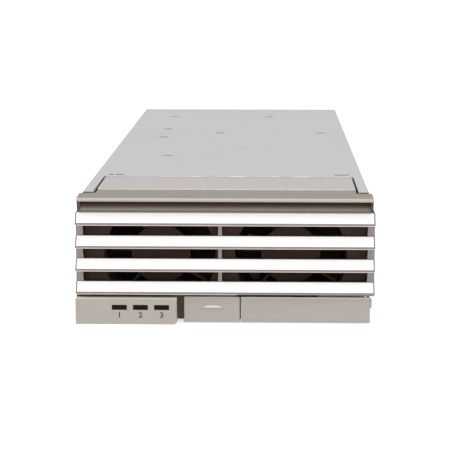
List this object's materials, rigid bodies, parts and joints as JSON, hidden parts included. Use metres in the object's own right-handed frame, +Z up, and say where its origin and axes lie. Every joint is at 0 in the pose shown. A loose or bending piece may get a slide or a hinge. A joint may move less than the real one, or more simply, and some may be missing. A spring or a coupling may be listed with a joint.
{
  "type": "rectifier power supply module",
  "caption": "Low plug-in rectifier module: long steel case, louvred silver front with indicator windows, sliding thumb latch, swing-out ejector handle and rear plug.",
  "frame": {"origin": "middle of the underside of the tray, on the surface that the module stands on", "axes": "+X to the right seen from the front, +Y from the front to the rear plug, +Z up"},
  "size_m": [0.0996, 0.3129, 0.0432],
  "materials": {
    "galvanised_steel": "plain zinc-coated sheet",
    "silver_plastic": "silver-coloured fine texture",
    "smoked_window": "smooth dark clear moulding",
    "lamp": "clear resin",
    "circuit_board": "green solder mask",
    "plated_steel": "zinc plated",
    "black_plastic": "moulded",
    "bearing_bronze": "sintered",
    "copper": "bare or enamelled copper",
    "contact_metal": "gold-plated contact",
    "insulator_film": "film",
    "capacitor_sleeve": "shrunk sleeve",
    "film_capacitor": "moulded box",
    "ferrite": "ground ferrite",
    "wound_coil": "enamelled wire on a ring core",
    "aluminium": "extruded",
    "black_epoxy": "moulded package",
    "fuse_body": "ceramic tube"
  },
  "bodies": {
    "case": {"chassis_tray": "galvanised_steel", "top_cover": "galvanised_steel", "cover_rivets": "galvanised_steel", "front_bezel": "silver_plastic", "indicator_windows": "smoked_window", "indicator_lamps": "lamp", "indicator_board": "circuit_board", "main_board": "circuit_board", "control_board": "circuit_board", "cover_screws": "plated_steel", "bezel_screws": "plated_steel", "fan_screws": "plated_steel", "board_screws": "plated_steel", "board_standoffs": "plated_steel", "plug_screws": "plated_steel", "latch_spring": "plated_steel", "handle_pin": "plated_steel", "fan_frame_left": "black_plastic", "fan_frame_right": "black_plastic", "rear_plug": "black_plastic", "inrush_relay": "black_plastic", "fan_bearing_left": "bearing_bronze", "fan_bearing_right": "bearing_bronze", "fan_stator_left": "copper", "fan_stator_right": "copper", "transformer_winding": "copper", "output_bus_bars": "copper", "plug_blades": "contact_metal", "plug_pins": "contact_metal", "insulator_sheet": "insulator_film", "bulk_capacitors": "capacitor_sleeve", "output_capacitors": "capacitor_sleeve", "filter_capacitors": "film_capacitor", "transformer_core": "ferrite", "resonant_inductor": "ferrite", "auxiliary_transformer": "ferrite", "input_chokes": "wound_coil", "boost_inductor": "wound_coil", "output_choke": "wound_coil", "primary_heat_sink": "aluminium", "output_heat_sink": "aluminium", "power_transistors": "black_epoxy", "bridge_rectifier": "black_epoxy", "input_fuse": "fuse_body"},
    "latch": {"latch_slider": "silver_plastic"},
    "handle": {"ejector_handle": "silver_plastic"},
    "left_impeller": {"fan_rotor_left": "black_plastic"},
    "right_impeller": {"fan_rotor_right": "black_plastic"}
  },
  "joints": [
    {"name": "latch_slide", "type": "slide", "parent": "case", "child": "latch", "axis": [-1, 0, 0], "range_m": [0, 0.0016], "stiffness_N_per_m": 400, "springref_m": -0.002, "deforming": ["latch_spring"]},
    {"name": "handle_swing", "type": "hinge", "parent": "case", "child": "handle", "pos_m": [0.04445, -0.1511, 0.0047], "axis": [0, 0, 1], "range_deg": [0, 60]},
    {"name": "left_fan_spin", "type": "hinge", "parent": "case", "child": "left_impeller", "pos_m": [-0.022, -0.1475, 0.0216], "axis": [0, 1, 0], "continuous": true},
    {"name": "right_fan_spin", "type": "hinge", "parent": "case", "child": "right_impeller", "pos_m": [0.022, -0.1475, 0.0216], "axis": [0, 1, 0], "continuous": true}
  ]
}
